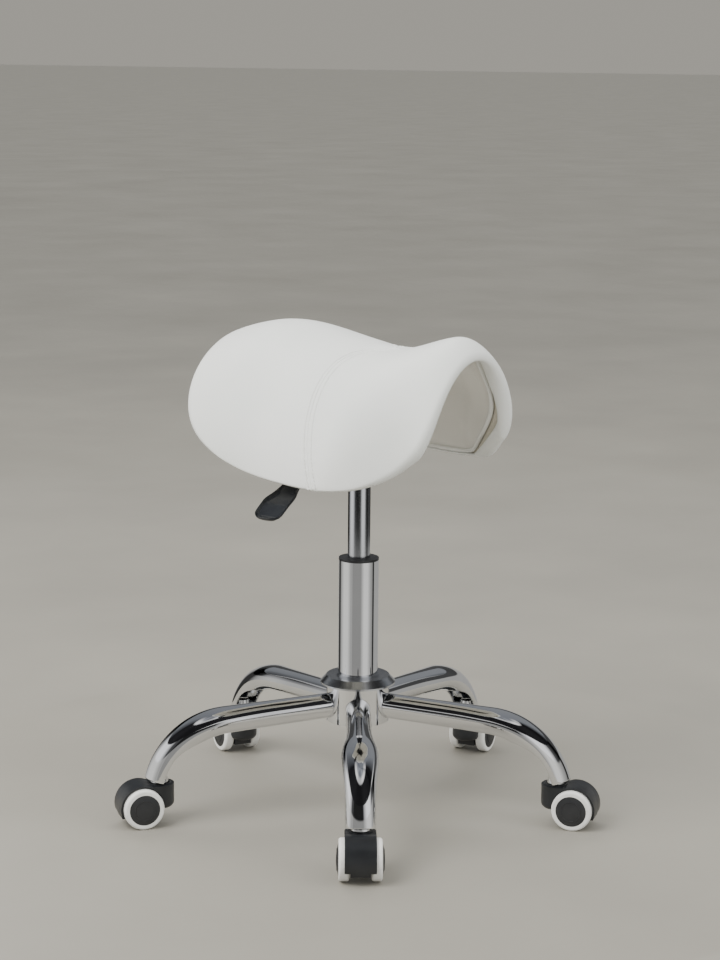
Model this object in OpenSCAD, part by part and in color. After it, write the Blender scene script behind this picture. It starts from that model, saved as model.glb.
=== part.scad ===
// Height-adjustable swivel stool with a saddle seat on a five-leg castor base.
// Millimetres. +Z up, origin on the floor under the column axis.
// The seat's front points along -Y and the sitter's left along +X.

/* [Castor base] */
// Diameter of the castor wheels
wheel_d = 50; // [40:1:60]
// Width of one tyre
tyre_w = 12.6; // [9:0.2:16]
// Radial thickness of the tyre
tyre_t = 6; // [3:0.5:8]
// Gap between the two tyres of a castor
tyre_gap = 25.6; // [20:0.2:32]
// Distance from the swivel axis to the wheel axle
castor_trail = 24; // [18:1:30]
// Width of the castor hood
hood_w = 37; // [34:0.5:44]
// Diameter of the castor stem
stem_d = 11; // [8:0.5:12]
// Angle each castor is turned at rest, from pointing straight out
castor_turn = [10, -10, 0, 0, 0];

/* [Legs] */
// Angle of the first leg about the column
base_turn = 0; // [-36:1:36]
// Diameter of the leg tube where it meets the hub
leg_root_d = 31; // [26:1:36]
// Width of the leg at its open tip
leg_tip_w = 36.4; // [34:0.2:44]
// Depth of the full oval at the leg's tip
leg_tip_d = 35; // [32:1:42]
// Extra half width at the shoulder of the bend
leg_swell = 5; // [0:0.5:8]
// Wall of the leg tube
leg_wall = 2; // [1.5:0.5:3]
// Length of the straight part of the leg
leg_straight = 142; // [100:1:220]
// Fall of the straight part, in degrees
leg_slope = 3; // [0:0.5:10]
// Radius of the downward bend
leg_bend_r = 94; // [70:1:130]
// Heading of the leg's tip below the horizontal
leg_tip_angle = 75; // [60:1:85]

/* [Hub and column] */
// Diameter of the hub
hub_d = 79; // [74:1:110]
// Height of the hub
hub_h = 48; // [44:1:70]
// Wall of the hub shell
hub_wall = 4; // [3:0.5:5]
// Diameter of the hub cap's lip
cap_lip_d = 94; // [86:1:120]
// Height of the hub cap
cap_h = 10; // [6:1:16]
// Outer diameter of the column tube
column_d = 50; // [46:1:54]
// Wall of the column tube
column_wall = 1.5; // [1:0.1:2]
// Length of the column tube
column_h = 205.6; // [190:0.2:260]
// Length of the guide bush inside the column
bush_h = 60; // [40:1:70]

/* [Gas lift] */
// Diameter of the gas cylinder
cylinder_d = 28; // [26:0.5:30]
// Length of the gas cylinder
cylinder_h = 275; // [265:1:300]
// Wall of the gas cylinder
cylinder_wall = 1.5; // [1:0.1:2]
// Height of the cylinder's foot above the floor as the seat stands
cylinder_z = 235; // [230:1:245]
// Diameter of the piston rod
rod_d = 10; // [8:0.5:12]

/* [Seat] */
// Seat length ahead of its widest line
seat_front = 160; // [130:1:200]
// Seat length behind its widest line
seat_back = 192; // [160:1:230]
// Widest line ahead of the column axis
seat_shift = 12; // [0:1:30]
// Height of the ridge at the dip, over the cylinder's foot
dip_rise = 351; // [350:1:380]
// Rise of the rear lobe over the dip
rear_rise = 26; // [10:1:40]
// Rise of the pommel over the dip
pommel_rise = 21; // [5:1:40]
// Half width of the saddle arch at the rear, the dip and the pommel
arch_w = [160, 171, 112];
// Fall of the saddle arch at the rear, the dip and the pommel
arch_fall = [173, 158, 184];
// Thickness of the cover
cover_t = 1.6; // [1:0.1:3]
// Thickness of the moulded shell
shell_t = 8; // [6:0.5:12]
// Padding over the flaps
flap_pad = 14; // [10:1:18]
// Padding under the ridge at the dip
crown_pad = 34; // [28:1:40]
// Diameter of the piping
piping_d = 5; // [4:0.5:7]

/* [Lever] */
// Distance from the column axis to the lever's pivot
pivot_x = 30; // [26:1:34]
// Diameter of the lever rod
lever_rod_d = 8; // [6:0.5:9]
// Reach of the lever's tip from the column axis
lever_reach = 190; // [184:1:196]
// Width of the lever's paddle
paddle_w = 36; // [28:1:42]

/* [Hidden] */
legs = 5;
leg_numbers = [1:legs];
castor_parts = ["castor_hood_", "castor_axle_", "tyre_left_", "tyre_right_", "wheel_left_", "wheel_right_"];

// Clearances: turning fit, sliding fit, and a plain gap between pieces
fit = 0.05;
slide_fit = 0.05;
gap = 0.3;
// Room between the seat's layers, so that their flat facets stay apart
layer_gap = 1;
lining_t = 1.2;
smooth_fn = 96;

// Castor heights
axle_z = wheel_d / 2;
hood_r = wheel_d / 2 + 3.2;
hood_top_z = axle_z + hood_r - 2.2;
boss_r = hood_w / 2;
collar_h = 2.2;
socket_z = hood_top_z + gap + collar_h;

// Leg path: a straight run from the hub, then one bend
leg_wall_gap = 0.1;
leg_tip_z = axle_z + hood_r + 1;
leg_root_r = hub_d / 2 - hub_wall - 4.5;
bend_start_r = leg_root_r + leg_straight;
bend_drop = leg_bend_r * (cos(leg_slope) - cos(leg_tip_angle));
bend_reach = leg_bend_r * (sin(leg_tip_angle) - sin(leg_slope));
leg_root_z = leg_tip_z + bend_drop + leg_straight * tan(leg_slope);
leg_tip_r = bend_start_r + bend_reach;
stem_r = leg_tip_r - 1;
bend_length = leg_bend_r * (leg_tip_angle - leg_slope) * PI / 180;
straight_length = leg_straight / cos(leg_slope);
leg_length = straight_length + bend_length;

// Hub and column heights
hub_z = leg_root_z - 20.8;
hub_top_z = hub_z + hub_h;
sleeve_t = 3.5;
column_r = column_d / 2;
column_in = column_r - column_wall;
column_z = hub_z;
column_top_z = column_z + column_h;
bush_flange_h = 3;
floor_z = column_z + 2.6;
floor_t = 3;

// Thrust bearing on the column's floor
race_r = 13;
race_t = 2;
ball_d = 4;
ball_gap = 0.1;
ball_count = 10;
ball_circle_r = 9.8;
lower_race_z = floor_z + floor_t;
upper_race_z = lower_race_z + race_t + ball_d + 2 * ball_gap;
shoulder_z = upper_race_z + race_t;

// Gas lift
cylinder_r = cylinder_d / 2;
cylinder_in = cylinder_r - cylinder_wall;
cylinder_top_z = cylinder_z + cylinder_h;
guide_h = 15;
valve_h = 30;
taper_h = 36;
taper_r = cylinder_r - 1;
piston_z = cylinder_z + guide_h + 34;
piston_h = 12;
pin_r = 3;
pin_h = 24;
pin_rise = 5;
pin_travel = 1.1;

// Seat plate
socket_wall = 4;
plate_t = 3;
cheek_y = 13;
cheek_t = 3;
pivot_z = cylinder_top_z + pin_rise + lever_rod_d / 2 + 0.6;
plate_w = 96;
plate_l = 150;
bolt_x = 36;
bolt_y = 62;
bolt_d = 8;

// Seat
dip_z = cylinder_z + dip_rise;
dip_y = 60;
seat_nose = seat_shift + seat_front;
seat_tail = seat_shift - seat_back;
nose_power = 4.35;
tail_power = 3.3;
flap_reach = 0.96;
blunt = 0.995;
shell_reach = 0.93;
seam_y = 9;
seam_bow = 46;
seam_peak = 50;

// ---------- Seat surface ----------

function ease(x) = let (c = min(1, max(0, x))) c * c * (3 - 2 * c);
function front_part(s) = ease((s - dip_y) / (seat_nose - 20 - dip_y));
function rear_part(s) = ease((dip_y - s) / (dip_y - seat_tail) / 0.8);
function along(s, v) = v[1] + (v[2] - v[1]) * front_part(s) + (v[0] - v[1]) * rear_part(s);
function nose_roll(s) = 23 * pow(max(0, (s - seat_nose + 35) / 35), 2);
function tail_roll(s) = 20 * pow(max(0, (seat_tail + 120 - s) / 120), 2.5);
function ridge(s) =
    dip_z + along(s, [rear_rise, 0, pommel_rise]) - nose_roll(s) - tail_roll(s);

// A point of the saddle: s is forward of the column, q is -1 to 1 across the arch
function saddle(s, q) =
    let (a = along(s, arch_w), d = along(s, arch_fall))
    [a * sin(90 * q), -s, ridge(s) - d * (1 - cos(90 * q))];

function unit(v) = v / norm(v);
function saddle_normal(s, q) =
    unit(cross(saddle(s, q + 0.01) - saddle(s, q - 0.01), saddle(s - 1, q) - saddle(s + 1, q)));

// The point lying a depth below the saddle's surface
function below(s, q, depth) = saddle(s, q) - depth * saddle_normal(s, q);

// How far across the arch the flap's edge lies, at x from -1 (tail) to 1 (nose)
function edge_q(x) =
    flap_reach * pow(1 - pow(abs(x), x > 0 ? nose_power : tail_power), 1 / (x > 0 ? nose_power : tail_power));
function station_s(x) = seat_shift + x * (x > 0 ? seat_front : seat_back);
function station_x(s) = (s - seat_shift) / (s > seat_shift ? seat_front : seat_back);

// Depth of the moulded shell: thin padding on the flaps, thick under the ridge
function crown_depth(s) = crown_pad + rear_rise * rear_part(s) - 10 * front_part(s);
function shell_depth(s, q) =
    flap_pad + (crown_depth(s) - flap_pad) * pow(cos(90 * q), 2);

// A closed sheet between two depths: rows of points over the top, then the same rows underneath
module sheet(rows, top, under) {
    n = len(rows);
    m = len(rows[0]);
    count = n * m;
    points = concat(
        [for (r = rows) for (p = r) below(p[0], p[1], top(p[0], p[1]))],
        [for (r = rows) for (p = r) below(p[0], p[1], under(p[0], p[1]))]);
    rim = concat(
        [for (j = [0:m - 1]) j],
        [for (i = [1:n - 1]) i * m + m - 1],
        [for (j = [m - 2:-1:0]) (n - 1) * m + j],
        [for (i = [n - 2:-1:1]) i * m]);
    faces = concat(
        [for (i = [0:n - 2]) for (j = [0:m - 2])
            each [[i * m + j, (i + 1) * m + j, (i + 1) * m + j + 1],
                  [i * m + j, (i + 1) * m + j + 1, i * m + j + 1]]],
        [for (i = [0:n - 2]) for (j = [0:m - 2])
            each [[count + i * m + j, count + (i + 1) * m + j + 1, count + (i + 1) * m + j],
                  [count + i * m + j, count + i * m + j + 1, count + (i + 1) * m + j + 1]]],
        [for (k = [0:len(rim) - 1]) let (a = rim[k], b = rim[(k + 1) % len(rim)])
            each [[a, b, count + b], [a, count + b, count + a]]]);
    polyhedron(points, faces, convexity = 8);
}

// Rows of a whole saddle outline, drawn in by a margin, as a share of its reach
function whole_rows(margin, n, m) =
    [for (i = [0:n]) let (x = sin(-90 + 180 * i / n) * blunt)
        [for (j = [0:m]) [station_s(x * margin), edge_q(x) * margin * (2 * j / m - 1)]]];

// The cross seam: bowed towards the flaps, with a forward peak over the ridge
function seam_s(q) =
    seam_y + seam_bow * q * q + seam_peak * exp(-(norm([q, 0.04]) - 0.04) / 0.12);

// Rows of one cover panel, from the seam to the nose (end = 1) or to the tail (end = -1)
function panel_rows(end, n, m) =
    [for (i = [0:n]) let (u = sin(90 * i / n))
        [for (j = [0:m])
            let (w = 2 * j / m - 1,
                 s = seam_s(flap_reach * w) * (1 - u) + station_s(end * blunt) * u)
            [s, edge_q(station_x(s)) * w]]];
function flipped(rows) = [for (i = [len(rows) - 1:-1:0]) rows[i]];

module seat_shell() {
    color("burlywood") difference() {
        sheet(whole_rows(shell_reach, 18, 18), function(s, q) shell_depth(s, q),
              function(s, q) shell_depth(s, q) + shell_t);
        at_bolts() translate([0, 0, -15]) cylinder(r = insert_r + fit, h = 60, $fn = smooth_fn);
    }
}

module foam_pad() {
    color("khaki")
        sheet(whole_rows(0.99, 26, 26), function(s, q) cover_t + layer_gap,
              function(s, q) shell_depth(s, q) - layer_gap);
}

module lining() {
    color("gainsboro") difference() {
        sheet(whole_rows(shell_reach, 18, 18), function(s, q) shell_depth(s, q) + shell_t + layer_gap,
              function(s, q) shell_depth(s, q) + shell_t + layer_gap + lining_t);
        at_bolts() translate([0, 0, -15]) cylinder(r = bolt_d / 2 + gap, h = 60, $fn = smooth_fn);
    }
}

module cover_front() {
    color("white")
        sheet(panel_rows(1, 16, 26), function(s, q) 0, function(s, q) cover_t);
}

module cover_rear() {
    color("white")
        sheet(flipped(panel_rows(-1, 16, 26)), function(s, q) 0, function(s, q) cover_t);
}

// Piping sewn round the lining's edge, swept as a tube of eight sides
module piping() {
    n = 60;
    sides = 8;
    margin = shell_reach + 0.027;
    path = [for (i = [0:n - 1])
        let (t = 360 * i / n, x = cos(t) * blunt,
             q = edge_q(x) * margin * (t < 180 ? 1 : -1), s = station_s(x * margin))
        below(s, q, shell_depth(s, q) + shell_t - piping_d / 2)];
    rings = [for (i = [0:n - 1])
        let (c = path[i], f = unit(path[(i + 1) % n] - path[(i + n - 1) % n]),
             a = unit(cross(f, [0, 0, 1])), b = cross(f, a))
        [for (k = [0:sides - 1])
            c + piping_d / 2 * (cos(360 * k / sides) * a + sin(360 * k / sides) * b)]];
    faces = [for (i = [0:n - 1]) for (k = [0:sides - 1])
        let (p = i * sides + k, q = i * sides + (k + 1) % sides,
             r = ((i + 1) % n) * sides + (k + 1) % sides, s = ((i + 1) % n) * sides + k)
        each [[p, q, r], [p, r, s]]];
    color("whitesmoke") polyhedron([for (r = rings) each r], faces, convexity = 6);
}

// ---------- Legs ----------

// Heading, reach and height of the leg's centre line at a share u of its length
function bend_at(u) = max(0, u * leg_length - straight_length) / bend_length;
function heading(u) = leg_slope + (leg_tip_angle - leg_slope) * bend_at(u);
function leg_reach(u) =
    leg_root_r + min(leg_straight, u * leg_length * cos(leg_slope))
    + leg_bend_r * (sin(heading(u)) - sin(leg_slope));
function leg_height(u) =
    leg_root_z - min(leg_straight, u * leg_length * cos(leg_slope)) * tan(leg_slope)
    - leg_bend_r * (cos(leg_slope) - cos(heading(u)));
function blend(a, b, u) = a + (b - a) * u;
function half_w(u) = blend(leg_root_d, leg_tip_w, u) / 2 + leg_swell * exp(-pow((u - 0.64) / 0.17, 2));
function half_d(u) = blend(leg_root_d, leg_tip_d, u) / 2;
// Half angle of the wall about the top: a rolled tube that opens into a channel
function wall_angle(u) = 178.6 - 80 * ease((u - 0.5) / 0.4);

module leg(k) {
    rings = 22;
    steps = 15;
    shares = [for (i = [0:rings - 1]) let (x = i / (rings - 1)) x < 0.3 ? x * 1.2 : 0.36 + (x - 0.3) * 0.64 / 0.7];
    function section(u, inset) =
        [for (j = [0:steps - 1])
            let (g = wall_angle(u) * (2 * j / (steps - 1) - 1),
                 side = (half_w(u) - inset) * sin(g), up = (half_d(u) - inset) * cos(g))
            [leg_reach(u) + up * sin(heading(u)), side, leg_height(u) + up * cos(heading(u))]];
    ring_n = 2 * steps;
    points = [for (u = shares) each concat(
        section(u, 0), [for (p = [steps - 1:-1:0]) section(u, leg_wall)[p]])];
    sides = [for (i = [0:rings - 2]) for (j = [0:ring_n - 1])
        let (a = i * ring_n + j, b = i * ring_n + (j + 1) % ring_n)
        each [[a, b + ring_n, b], [a, a + ring_n, b + ring_n]]];
    cap = [for (j = [0:steps - 2])
        each [[j, j + 1, ring_n - 2 - j], [j, ring_n - 2 - j, ring_n - 1 - j]]];
    last = (rings - 1) * ring_n;
    far_cap = [for (f = cap) [last + f[0], last + f[2], last + f[1]]];
    color("silver")
        rotate([0, 0, leg_angle(k)])
            polyhedron(points, concat(sides, cap, far_cap), convexity = 8);
}

function leg_angle(k) = base_turn + 360 / legs * (k - 1);

// ---------- Hub and column ----------

module tube(r_out, r_in, h) {
    difference() {
        cylinder(r = r_out, h = h, $fn = smooth_fn);
        translate([0, 0, -1]) cylinder(r = r_in, h = h + 2, $fn = smooth_fn);
    }
}

module base_hub() {
    sleeve_r = column_r + fit;
    hole_r = leg_root_d / 2 + leg_wall_gap;
    color("silver") difference() {
        translate([0, 0, hub_z]) rotate_extrude($fn = smooth_fn) difference() {
            translate([sleeve_r, 0]) square([hub_d / 2 - sleeve_r, hub_h]);
            translate([sleeve_r + sleeve_t, hub_wall])
                square([hub_d / 2 - sleeve_r - sleeve_t - hub_wall, hub_h - 2 * hub_wall]);
        }
        for (k = leg_numbers) rotate([0, 0, leg_angle(k)])
            translate([leg_root_r, 0, leg_root_z]) rotate([0, 90 + leg_slope, 0])
                cylinder(r = hole_r, h = hub_d / 2, $fn = smooth_fn);
    }
}

module hub_cap() {
    bore_r = column_r + fit;
    collar_t = 1.8;
    collar_rise = 2.5;
    lip_h = 2;
    skin = 2;
    color("silver") translate([0, 0, hub_top_z]) rotate_extrude($fn = smooth_fn) polygon([
        [bore_r, 0], [bore_r, cap_h + collar_rise], [bore_r + collar_t, cap_h + collar_rise],
        [bore_r + collar_t, cap_h], [hub_d / 2, cap_h], [cap_lip_d / 2, lip_h],
        [cap_lip_d / 2, 0], [cap_lip_d / 2 - skin, 0], [hub_d / 2 - skin, cap_h - skin],
        [bore_r + skin, cap_h - skin], [bore_r + skin, 0]]);
}

module column_tube() {
    rod_hole_r = rod_d / 2 + 1;
    color("silver") rotate_extrude($fn = smooth_fn) polygon([
        [column_in, column_z], [column_r, column_z], [column_r, column_top_z],
        [column_in, column_top_z], [column_in, floor_z + floor_t],
        [rod_hole_r, floor_z + floor_t], [rod_hole_r, floor_z], [column_in, floor_z]]);
}

module guide_bush() {
    bore_r = cylinder_r + slide_fit;
    color("black") {
        translate([0, 0, column_top_z - bush_h]) tube(column_in, bore_r, bush_h);
        translate([0, 0, column_top_z]) tube(column_r, bore_r, bush_flange_h);
    }
}

module race(z) {
    translate([0, 0, z]) tube(race_r, rod_d / 2 + 1.5, race_t);
}

module lower_race() {
    color("dimgray") race(lower_race_z);
}

module upper_race() {
    color("dimgray") translate([0, 0, upper_race_z]) tube(race_r, rod_d / 2, race_t);
}

module bearing_balls() {
    color("gray") for (i = [0:ball_count - 1]) rotate([0, 0, 360 / ball_count * i])
        translate([ball_circle_r, 0, lower_race_z + race_t + ball_gap + ball_d / 2])
            sphere(d = ball_d, $fn = 32);
}

module piston_rod() {
    shoulder_h = 6;
    groove_z = floor_z - 1.6;
    foot_z = groove_z - 2;
    color("lightgray") difference() {
        union() {
            translate([0, 0, foot_z])
                cylinder(d = rod_d, h = piston_z + piston_h - foot_z, $fn = smooth_fn);
            translate([0, 0, shoulder_z]) cylinder(r = rod_d / 2 + 3, h = shoulder_h, $fn = smooth_fn);
        }
        translate([0, 0, groove_z]) tube(rod_d, rod_d / 2 - 1, 1.2);
    }
}

module rod_clip() {
    color("dimgray") translate([0, 0, floor_z - 1.5]) tube(rod_d / 2 + 4, rod_d / 2 - 1, 1);
}

module rod_piston() {
    color("black") translate([0, 0, piston_z])
        tube(cylinder_in - slide_fit, rod_d / 2, piston_h);
}

module gas_cylinder() {
    color("silver") rotate_extrude($fn = smooth_fn) difference() {
        polygon([
            [0, cylinder_z], [cylinder_r, cylinder_z], [cylinder_r, cylinder_top_z - taper_h],
            [taper_r, cylinder_top_z], [0, cylinder_top_z]]);
        translate([0, cylinder_z + guide_h])
            square([cylinder_in, cylinder_h - guide_h - valve_h - taper_h]);
        translate([0, cylinder_z - 1]) square([rod_d / 2 + slide_fit, guide_h + 2]);
        translate([0, cylinder_top_z - pin_h]) square([pin_r + slide_fit, pin_h + 1]);
    }
}

module valve_pin() {
    pin_foot_z = cylinder_top_z - pin_h + pin_travel + gap;
    color("gray") translate([0, 0, pin_foot_z])
        cylinder(r = pin_r, h = cylinder_top_z + pin_rise - pin_foot_z, $fn = 48);
}

// ---------- Seat plate and lever ----------

// Height of the shell's underside over a point of the plate
function shell_under(x, s) =
    let (inner_w = along(s, arch_w) - shell_depth(s, 0) - shell_t, q = asin(x / inner_w) / 90)
    below(s, q, shell_depth(s, q) + shell_t)[2];
lining_drop = layer_gap + lining_t + 1.5;
under_lining = lining_drop + 1;
plate_top_z = min([for (s = [-plate_l / 2:15:plate_l / 2]) shell_under(plate_w / 2, s)]) - under_lining;

// Each bolt's place, on the shell's underside
module at_bolts() {
    for (x = [-bolt_x, bolt_x]) for (y = [-bolt_y, bolt_y])
        translate([x, y, shell_under(bolt_x, -y)]) children();
}
insert_r = 6;

module seat_plate() {
    cheek_x = -pivot_x - 14;
    cheek_l = pivot_x + 14 + cylinder_r + socket_wall;
    cheek_z = cylinder_top_z - taper_h;
    color("black") difference() {
        union() {
            translate([-plate_w / 2, -plate_l / 2, plate_top_z - plate_t])
                cube([plate_w, plate_l, plate_t]);
            for (side = [-1, 1])
                translate([cheek_x, side * cheek_y - cheek_t / 2, cylinder_top_z - 20])
                    cube([cheek_l, cheek_t, plate_top_z - cylinder_top_z + 20 - plate_t]);
            translate([0, 0, cheek_z])
                cylinder(r = cylinder_r + socket_wall, h = taper_h, $fn = smooth_fn);
        }
        translate([0, 0, cheek_z])
            cylinder(r1 = cylinder_r, r2 = taper_r, h = taper_h, $fn = smooth_fn);
        translate([0, 0, cheek_z - 1]) cylinder(r = cylinder_r, h = 1.01, $fn = smooth_fn);
        translate([0, 0, cylinder_top_z - 0.01])
            cylinder(r = cylinder_r + socket_wall + 1, h = pivot_z - cylinder_top_z, $fn = smooth_fn);
        translate([-pivot_x, 50, pivot_z]) rotate([90, 0, 0])
            cylinder(r = pivot_pin_r + fit, h = 100, $fn = smooth_fn);
        for (x = [-bolt_x, bolt_x]) for (y = [-bolt_y, bolt_y])
            translate([x, y, plate_top_z - plate_t - 1])
                cylinder(d = bolt_d + 0.5, h = plate_t + 2, $fn = smooth_fn);
    }
}
pivot_pin_r = 3;

// Four bolts with a hexagon head, a washer and a spacer between the plate and the lining
module seat_bolts() {
    head_h = 5;
    washer_t = 1.5;
    washer_z = plate_top_z - plate_t - washer_t;
    reach = 5;
    color("lightgray") for (x = [-bolt_x, bolt_x]) for (y = [-bolt_y, bolt_y])
        let (under = shell_under(bolt_x, -y)) translate([x, y, 0]) {
            translate([0, 0, washer_z - head_h]) cylinder(d = bolt_d * 1.8, h = head_h, $fn = 6);
            translate([0, 0, washer_z]) cylinder(d = bolt_d * 2.2, h = washer_t, $fn = smooth_fn);
            translate([0, 0, washer_z]) cylinder(d = bolt_d, h = under + reach - washer_z, $fn = smooth_fn);
            translate([0, 0, plate_top_z])
                cylinder(d = bolt_d * 1.6, h = under - lining_drop - plate_top_z, $fn = smooth_fn);
        }
}

// Threaded inserts in the shell, which the bolts screw into
module tee_nuts() {
    color("goldenrod") at_bolts() translate([0, 0, 1])
        tube(insert_r, bolt_d / 2 + fit, 4.5);
}

// Lever line in the XZ plane: inner arm, pivot, elbow, and the paddle's root and tip
paddle_angle = 35;
paddle_l = 78;
paddle_rise = 4.5;
paddle_root_x = -lever_reach + paddle_l * cos(paddle_angle);
tip_z = cylinder_z + 163.5;
paddle_root_z = tip_z + paddle_l * sin(paddle_angle);
elbow_x = -pivot_x - 30;

module bar(a, b, r) {
    v = b - a;
    tilt = atan2(norm([v[0], v[1]]), v[2]);
    translate(a) rotate([0, tilt, atan2(v[1], v[0])]) cylinder(r = r, h = norm(v), $fn = 48);
}

// Lever rod: an inner arm, a slanted shank and a tang in the paddle, with a knuckle at each bend
module lever_rod() {
    r = lever_rod_d / 2;
    knuckle_r = r + 0.8;
    tang_l = 12;
    heel_l = 7;
    slope = [cos(paddle_angle), 0, sin(paddle_angle)];
    root = [paddle_root_x, 0, paddle_root_z];
    arm_end = [pin_r + 1, 0, pivot_z];
    elbow = [elbow_x, 0, pivot_z];
    heel = root + heel_l * slope;
    tang = root - tang_l * slope;
    pin_l = 2 * cheek_y + cheek_t + 4;
    color("dimgray") {
        bar(arm_end, elbow, r);
        bar(elbow, heel, r - 0.15);
        bar(heel, tang, r);
        for (p = [elbow, heel]) translate(p) sphere(r = knuckle_r, $fn = 48);
        translate([-pivot_x, pin_l / 2, pivot_z]) rotate([90, 0, 0])
            cylinder(r = pivot_pin_r, h = pin_l, $fn = smooth_fn);
    }
}

// Spoon-shaped paddle: a rimmed plate with a shallow dish, a bulge below and a boss round the rod
module lever_paddle() {
    root_w = 18;
    edge_t = 3;
    dish = 2;
    rim_w = 3;
    bulge_in = 6;
    boss_l = 18;
    tip_x = -paddle_l + paddle_w / 2;
    root_x = -6;
    module plate(grow, low, high) {
        hull() {
            translate([tip_x, 0, low]) cylinder(r = paddle_w / 2 + grow, h = high - low, $fn = 48);
            translate([root_x, 0, low]) cylinder(r = root_w / 2 + grow, h = high - low, $fn = 48);
        }
    }
    color("black") translate([paddle_root_x, 0, paddle_root_z]) rotate([0, -paddle_angle, 0])
        difference() {
            union() {
                plate(0, paddle_rise - edge_t, paddle_rise);
                plate(-bulge_in, -5, paddle_rise - dish - 0.5);
                hull() {
                    translate([root_x, 0, -7]) cylinder(r = root_w / 2 - 1, h = 13.5, $fn = 48);
                    translate([root_x - boss_l, 0, -5]) cylinder(r = 4, h = 8, $fn = 48);
                }
            }
            hull() {
                translate([tip_x, 0, paddle_rise - dish])
                    cylinder(r = paddle_w / 2 - rim_w, h = 2 * dish, $fn = 48);
                translate([root_x - boss_l - 6, 0, paddle_rise - dish])
                    cylinder(r = root_w / 2 - rim_w, h = 2 * dish, $fn = 48);
            }
            translate([-13, 0, 0]) rotate([0, 90, 0])
                cylinder(d = lever_rod_d + 0.1, h = 40, $fn = 48);
        }
}

// ---------- Castors ----------

module at_stem(k) {
    rotate([0, 0, leg_angle(k)]) translate([stem_r, 0, 0])
        rotate([0, 0, castor_turn[k - 1]]) children();
}

socket_h = 22;
socket_r1 = 11.5;
socket_r2 = 7.5;
stem_grip = 20;
hood_stem_z = axle_z + 7;

module stem_sockets() {
    color("silver") for (k = leg_numbers) rotate([0, 0, leg_angle(k)]) translate([stem_r, 0, 0])
        difference() {
            union() {
                translate([0, 0, socket_z])
                    cylinder(r1 = socket_r1, r2 = socket_r2, h = socket_h, $fn = smooth_fn);
                translate([0, -1.5, socket_z + 3]) cube([13.4, 3, 10]);
            }
            translate([0, 0, socket_z - 1]) cylinder(d = stem_d, h = stem_grip + 1, $fn = smooth_fn);
        }
}

module castor_stems() {
    collar_r = 9;
    color("silver") for (k = leg_numbers) rotate([0, 0, leg_angle(k)]) translate([stem_r, 0, 0]) {
        translate([0, 0, hood_stem_z + 1])
            cylinder(d = stem_d, h = socket_z + stem_grip - hood_stem_z - 1, $fn = smooth_fn);
        translate([0, 0, hood_top_z + gap]) cylinder(r = collar_r, h = collar_h, $fn = smooth_fn);
    }
}

module across(r, y1, y2) {
    translate([castor_trail, y2, axle_z]) rotate([90, 0, 0])
        cylinder(r = r, h = y2 - y1, $fn = smooth_fn);
}

// Hood: a boss round the stem, a mudguard over the wheels and a web between them
module castor_hood(k) {
    boss_z = axle_z - 4;
    round_r = 7;
    web_w = tyre_gap - 2.4;
    pocket_r = wheel_d / 2 + 0.9;
    color("black") at_stem(k) difference() {
        union() {
            translate([0, 0, boss_z]) rotate_extrude($fn = smooth_fn) {
                square([boss_r - round_r, hood_top_z - boss_z]);
                translate([0, round_r]) square([boss_r, hood_top_z - boss_z - round_r]);
                translate([boss_r - round_r, round_r]) circle(r = round_r, $fn = smooth_fn);
            }
            translate([0, -hood_w / 2, axle_z]) cube([castor_trail, hood_w, hood_top_z - axle_z]);
            intersection() {
                across(hood_r, -hood_w / 2, hood_w / 2);
                translate([0, -hood_w, axle_z - 8]) cube([100, 2 * hood_w, 60]);
            }
            intersection() {
                across(hood_r, -web_w / 2, web_w / 2);
                translate([0, -hood_w, axle_z - 13]) cube([100, 2 * hood_w, 60]);
            }
        }
        across(pocket_r, web_w / 2, hood_w);
        across(pocket_r, -hood_w, -web_w / 2);
        across(axle_r, -hood_w, hood_w);
        translate([0, 0, hood_stem_z]) cylinder(d = stem_d + 2 * fit, h = 60, $fn = smooth_fn);
    }
}
axle_r = 2.5;

module castor_axle(k) {
    reach = tyre_gap / 2 + tyre_w - 2.5;
    color("lightgray") at_stem(k) across(axle_r, -reach, reach);
}

// Half of a twin wheel lies on side -1 or 1 of the hood
module on_side(k, side) {
    at_stem(k) translate([castor_trail, side * tyre_gap / 2, axle_z])
        rotate([-90 * side, 0, 0]) children();
}

module castor_tyre(k, side) {
    round_r = 3;
    inner = wheel_d / 2 - tyre_t;
    color("white") on_side(k, side) rotate_extrude($fn = smooth_fn) {
        translate([inner, 0]) square([tyre_t - round_r, tyre_w]);
        translate([inner, round_r]) square([tyre_t, tyre_w - 2 * round_r]);
        translate([wheel_d / 2 - round_r, round_r]) circle(r = round_r, $fn = smooth_fn);
        translate([wheel_d / 2 - round_r, tyre_w - round_r]) circle(r = round_r, $fn = smooth_fn);
    }
}

// Wheel body with a domed outer face and a blind bore for the axle
module castor_wheel(k, side) {
    r = wheel_d / 2 - tyre_t;
    dome = 3;
    ball_r = (r * r + dome * dome) / (2 * dome);
    color("black") on_side(k, side) difference() {
        union() {
            cylinder(r = r, h = tyre_w, $fn = smooth_fn);
            translate([0, 0, tyre_w + dome - ball_r]) intersection() {
                sphere(r = ball_r, $fn = smooth_fn);
                translate([0, 0, ball_r - dome - 0.1]) cylinder(r = r, h = dome + 1, $fn = smooth_fn);
            }
        }
        translate([0, 0, -1]) cylinder(r = axle_r + fit, h = tyre_w - 1, $fn = smooth_fn);
    }
}

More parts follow.
